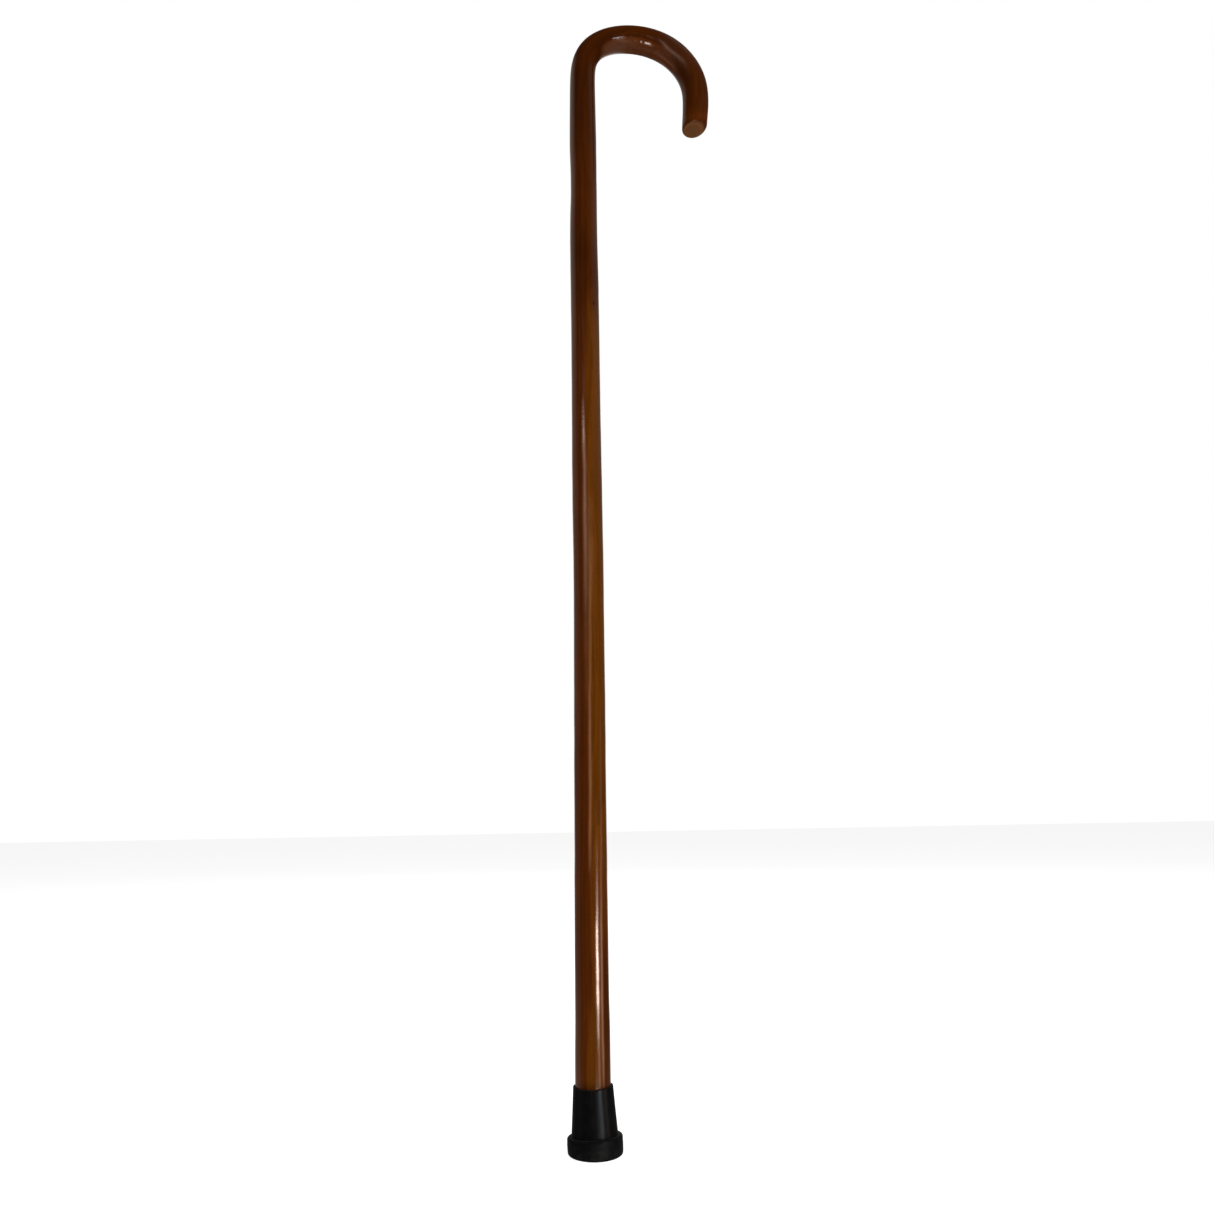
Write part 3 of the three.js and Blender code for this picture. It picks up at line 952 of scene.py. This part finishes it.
# -------------------------------------------------------------------- world
# Each strip is a narrow upright light:
#   (elevation, azimuth) of its middle, (elevation, brightness), width, top brightness.
# Degrees throughout; azimuth runs from the front, positive to the right.
BRIGHT_MIDDLE = [(-60, 44), (-12.6, 44), (-11.5, 40.5), (-10.5, 38.5), (-7.2, 38),
                 (-6.2, 41), (-4.5, 44), (60, 44)]
WHITE_STRIPS = [
    ([(-60, -25), (9, -28), (20, -20), (22, -25), (25, -16), (60, -14)],
     [(-20, 0.0), (21.4, 0.0), (21.8, 1.5), (22.1, 7.0), (22.6, 9.5), (23.0, 5.0),
      (23.4, 1.5), (24.0, 0.4), (26, 0.2), (30, 0.0)], 6.5, 16.0),
    (BRIGHT_MIDDLE,
     [(-20, 0.8), (-16, 1.4), (-13.4, 2.8), (-12.6, 1.2), (-12.0, 1.5), (-11.2, 3.5),
      (-10.4, 8.2), (-9.6, 12.5), (-8.9, 36.0), (-8.1, 48.0), (-7.3, 39.0), (-6.5, 10.8),
      (-5.7, 10.6), (-4.9, 5.5), (-4.0, 2.1), (-3.2, 1.7), (-2.4, 1.0), (-1.5, 0.7),
      (0.5, 0.0)], 5.4, 50.0),
    # two behind the object, mirrored only as it is seen from the back
    ([(-60, 168), (60, 168)], [(-8, 0.0), (0, 1.0), (30, 1.4), (50, 0.0)], 5.0, 6.0),
    ([(-60, -158), (60, -158)], [(-8, 0.0), (0, 0.7), (26, 1.1), (50, 0.0)], 4.0, 6.0),
]
# (tint, strip)
TINTED_STRIPS = [
    ((1.0, 0.88, 0.78),
     ([(-60, -25), (9, -28), (14, -25.5), (16, -22), (17, -19), (20.0, -18), (22, -20),
       (60, -14)],
      [(-20, 0.0), (4, 0.0), (6.2, 0.1), (8.6, 0.3), (10.7, 0.6), (11.6, 0.95),
       (12.5, 1.1), (13.3, 1.6), (14.2, 2.0), (15.1, 2.1), (16.0, 2.6), (16.9, 3.1),
       (17.8, 3.3), (18.7, 2.8), (19.5, 2.9), (20.4, 3.0), (21.3, 2.6), (21.8, 1.0),
       (22.5, 0.0)], 8.0, 4.0)),
    ((1.0, 0.70, 0.50),
     ([(-60, -6), (-3.2, -5), (-2.4, -8), (-1.5, -8), (-0.7, -5), (0.2, -1), (1, 2),
       (6.3, 0), (8, 4), (10, 9), (12.5, 11.5), (17, 15), (60, 15)],
      [(-20, 0.0), (-4, 0.0), (-3.2, 0.6), (-2.4, 1.4), (-1.5, 2.2), (0, 2.7), (1.0, 2.3),
       (2.0, 3.0), (3.2, 2.5), (5, 2.9), (6.5, 2.6), (8, 2.0), (10, 1.9), (12.3, 1.8),
       (14, 1.3), (15, 0.7), (18, 0.2), (22, 0.0)], 6.5, 4.0)),
    ((1.0, 0.72, 0.56),
     ([(-60, 75), (-12.7, 74), (-11.9, 70), (-6.5, 70), (-5, 74), (-3, 79), (1, 82),
       (60, 82)],
      [(-20, 0.2), (-16, 0.5), (-14.6, 1.6), (-14.0, 3.0), (-12.6, 3.8), (-11.2, 3.5),
       (-9.6, 4.9), (-7.3, 4.7), (-6.5, 3.9), (-5.7, 3.2), (-4.9, 2.6), (-4, 1.6),
       (-1.5, 1.2), (1, 0.8), (7, 0.0)], 6.0, 6.0)),
    # cool core of the brightest strip
    ((0.05, 0.60, 1.0),
     (BRIGHT_MIDDLE,
      [(-20, 0.0), (-12, 0.0), (-11.2, 1.0), (-10.4, 4.5), (-9.6, 5.0), (-8.9, 9.0),
       (-8.1, 6.0), (-7.3, 9.0), (-6.5, 2.5), (-5.7, 0.6), (-5, 0.0), (30, 0.0)],
      5.0, 10.0)),
    # a broad soft one
    ((1.0, 0.70, 0.45),
     ([(-60, 14), (60, 14)],
      [(-20, 0.0), (11, 0.0), (13, 0.6), (14.5, 1.1), (15.7, 1.1), (16.8, 0.5),
       (18, 0.0), (30, 0.0)], 20.0, 4.0)),
]
# (elevation, brightness) of the backdrop on either side
LEFT_WALL = [(-60, 0.45), (-20, 0.40), (-12, 0.30), (-7, 0.18), (0, 0.15), (6, 0.26),
             (12, 0.27), (18, 0.31), (24, 0.38), (30, 0.45), (45, 0.45), (60, 0.30)]
RIGHT_WALL = [(-60, 0.50), (-26, 0.48), (-17, 0.20), (-12, 0.03), (0, 0.03), (6, 0.06),
              (12, 0.13), (21, 0.19), (27, 0.21), (45, 0.20), (60, 0.12)]


def light_strip(azimuth, elevation, middle, levels, width, peak):
    tree = azimuth.tree
    away = azimuth - elevation.stops(middle, -60, 60, -180, 180)
    away = tree.math("WRAP", away, 180.0, -180.0) / width
    return (tree.math("EXPONENT", away * away * -0.5)
            * elevation.stops(levels, -20, 30, 0, peak))


def light_spot(azimuth, elevation, place, wide, tall, level):
    away = (azimuth - place[0]) / wide
    above = (elevation - place[1]) / tall
    return azimuth.tree.math("EXPONENT", (away * away + above * above) * -1.0) * level


def pale_backdrop(azimuth, elevation):
    """Walls to either side and behind; they reach further round on the left."""
    left = azimuth.ramp(start=-62, end=-98) * elevation.stops(LEFT_WALL, -60, 60, 0.0, 0.5)
    right = azimuth.ramp(start=elevation.ramp(start=13, end=21, low=84, high=46),
                         end=elevation.ramp(start=13, end=21, low=112, high=78))
    right = right * elevation.stops(RIGHT_WALL, -60, 60, 0.0, 0.5)
    behind = (azimuth.tree.math("ABSOLUTE", azimuth).ramp(start=134, end=150)
              * elevation.ramp(start=35, end=12, low=0.10, high=0.46))
    return left.max(right).max(behind) + 0.010


def tinted(level, red, green, blue):
    return level.tree.vector(level * red, level * green, level * blue)


def build_world():
    """The camera sees white; gloss sees a dark studio with a backdrop and strips."""
    world = bpy.data.worlds.new("studio")
    bpy.context.scene.world = world
    tree = Tree(world)
    direction = tree.node("TexCoord", {}, "Generated")
    x, y, z = tree.xyz(tree.vector_math("NORMALIZE", direction))
    degrees = 180 / math.pi
    azimuth = tree.math("ARCTAN2", toward(x, y, RIGHT), toward(x, y, FRONT)) * degrees
    elevation = tree.math("ARCSINE", z) * degrees

    white = reduce(Value.__add__, [light_strip(azimuth, elevation, *strip)
                                   for strip in WHITE_STRIPS])
    # low lamps in front, the first far below the horizon
    white = white + light_spot(azimuth, elevation, place=(-4.0, -47.0),
                               wide=13.0, tall=6.0, level=38.0)
    white = white + light_spot(azimuth, elevation, place=(27.0, -19.5),
                               wide=9.0, tall=3.5, level=6.0)
    glow = tree.vector_math("ADD", tinted(white, 1.0, 0.98, 0.94),
                            tinted(pale_backdrop(azimuth, elevation), 1.0, 0.90, 0.80))
    for tint, strip in TINTED_STRIPS:
        light = light_strip(azimuth, elevation, *strip)
        glow = tree.vector_math("ADD", glow, tinted(light, *tint))

    def background(color, strength):
        return tree.node("Background", {"Color": color, "Strength": strength})

    camera_ray = tree.node("LightPath", {}, "Is Camera Ray")
    unseen = tree.node("MixShader", {0: camera_ray.sibling("Is Glossy Ray"),
                                     1: background(WHITE, strength=0.15),
                                     2: background(glow, strength=1.0)})
    tree.finish("World", tree.node("MixShader", {
        0: camera_ray, 1: unseen, 2: background(WHITE, strength=1.0)}))


# --------------------------------------------------------- lights and camera
def area_light(name, azimuth, elevation, distance, size, energy):
    """A disk aimed at the middle of the stick, seen by neither gloss nor camera."""
    turn = FRONT + math.radians(azimuth)
    rise = math.radians(elevation)
    target = Vector((0.02, 0, 0.5))
    location = target + Vector((math.cos(turn) * math.cos(rise),
                                math.sin(turn) * math.cos(rise),
                                math.sin(rise))) * distance
    data = bpy.data.lights.new(name, "AREA")
    data.shape = "DISK"
    data.size = size
    data.energy = energy
    light = bpy.data.objects.new(name, data)
    light.location = location
    light.rotation_euler = (target - location).to_track_quat("-Z", "Y").to_euler()
    bpy.context.scene.collection.objects.link(light)
    light.visible_glossy = False
    light.visible_camera = False


def build_camera():
    scene = bpy.context.scene
    data = bpy.data.cameras.new("camera")
    data.sensor_width = 36.0
    data.lens = 28.619
    data.clip_start = 0.01
    data.clip_end = 60.0
    camera = bpy.data.objects.new("camera", data)
    scene.collection.objects.link(camera)
    place = (-0.10497, -0.72416, 0.23371)
    forward = Vector((0.16028268, 0.96579340, 0.20384448)).normalized()
    right = Vector((0.98688047, -0.16085633, -0.01386286)).normalized()
    up = right.cross(forward).normalized()
    right = forward.cross(up).normalized()
    camera.matrix_world = Matrix([(right[i], up[i], -forward[i], place[i])
                                  for i in range(3)] + [(0, 0, 0, 1)])
    scene.camera = camera
    scene.view_settings.view_transform = "Standard"
    scene.view_settings.look = "None"
    scene.view_settings.exposure = 0.0
    scene.view_settings.gamma = 1.0


# ----------------------------------------------------------------- assembly
# (material, mesh, frame piece it rides on, frame piece it replaces, slot)
PIECES = [
    (wood_material, build_stick, "stick", "stick", "varnished_wood"),
    (rubber_material, build_ferrule, "ferrule", "rubber_ferrule", "black_rubber"),
    (zinc_material, build_washer, "ferrule", "ferrule_washer", "zinc_plated_steel"),
]
materials = {}
for make_material, build, carrier, replaced, slot in PIECES:
    material = make_material()
    piece = build()
    piece.data.materials.append(material)
    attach(piece, carrier)
    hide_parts(replaced)
    materials[replaced] = material

# the frame's own pieces wear the same materials
for name, material in materials.items():
    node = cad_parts[name]
    node.data.materials.clear()
    node.data.materials.append(material)

build_floor()
build_world()
area_light("key_right", azimuth=55, elevation=30, distance=2.2, size=1.5, energy=23)
area_light("fill_left", azimuth=-50, elevation=15, distance=2.2, size=1.6, energy=8.5)
area_light("top_soft", azimuth=10, elevation=80, distance=2.4, size=2.2, energy=14)
area_light("back_soft", azimuth=175, elevation=35, distance=2.4, size=1.8, energy=10)
build_camera()


bpy.context.view_layer.update()
